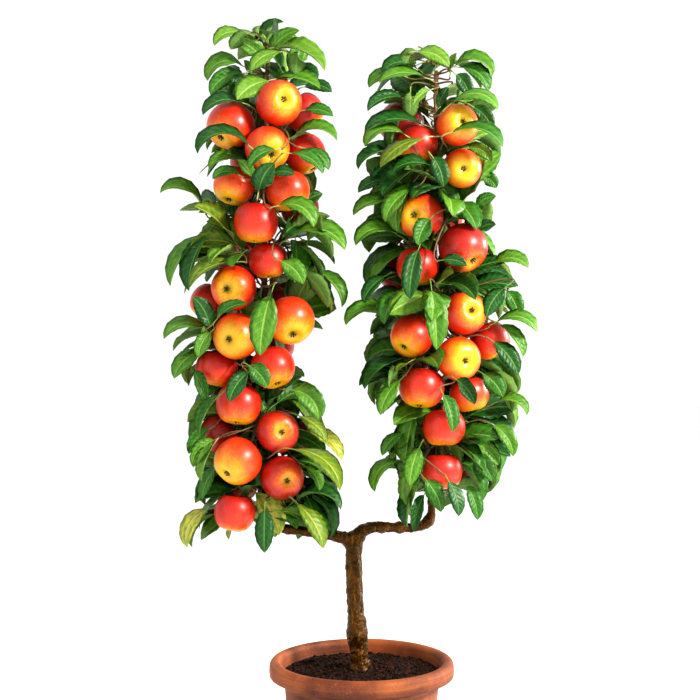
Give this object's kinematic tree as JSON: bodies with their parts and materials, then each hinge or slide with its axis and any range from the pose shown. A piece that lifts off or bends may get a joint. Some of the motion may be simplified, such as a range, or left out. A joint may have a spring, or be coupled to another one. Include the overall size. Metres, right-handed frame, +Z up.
{
  "type": "dwarf apple tree in a pot",
  "caption": "Potted dwarf apple tree trained as a fork, with upright leafy columns of ripe red and yellow apples over a bare trunk.",
  "frame": {"origin": "centre of the pot's flat underside, on the surface that the pot stands on", "axes": "+Z up, +X along the tree's two arms, -Y towards the front of the tree"},
  "size_m": [0.581, 0.3221, 1.2937],
  "materials": {
    "terracotta": "unglazed fired clay, matt, slightly weathered",
    "soil": "dark crumbly potting soil",
    "bark": "brown bark with a waxy sheen, knots and fine cracks",
    "foliage": "green leaves with paler midribs, and ripe apples among them"
  },
  "bodies": {
    "root": {"pot": "terracotta", "soil": "soil", "trunk": "bark", "arm_left": "bark", "arm_right": "bark", "leader_left": "bark", "leader_right": "bark", "foliage_left_01": "foliage", "foliage_left_02": "foliage", "foliage_left_03": "foliage", "foliage_left_04": "foliage", "foliage_left_05": "foliage", "foliage_left_06": "foliage", "foliage_left_07": "foliage", "foliage_left_08": "foliage", "foliage_left_09": "foliage", "foliage_left_10": "foliage", "foliage_left_11": "foliage", "foliage_left_12": "foliage", "foliage_left_13": "foliage", "foliage_left_14": "foliage", "foliage_left_15": "foliage", "foliage_left_16": "foliage", "foliage_right_01": "foliage", "foliage_right_02": "foliage", "foliage_right_03": "foliage", "foliage_right_04": "foliage", "foliage_right_05": "foliage", "foliage_right_06": "foliage", "foliage_right_07": "foliage", "foliage_right_08": "foliage", "foliage_right_09": "foliage", "foliage_right_10": "foliage", "foliage_right_11": "foliage", "foliage_right_12": "foliage", "foliage_right_13": "foliage", "foliage_right_14": "foliage", "foliage_right_15": "foliage", "foliage_right_16": "foliage"}
  },
  "joints": []
}
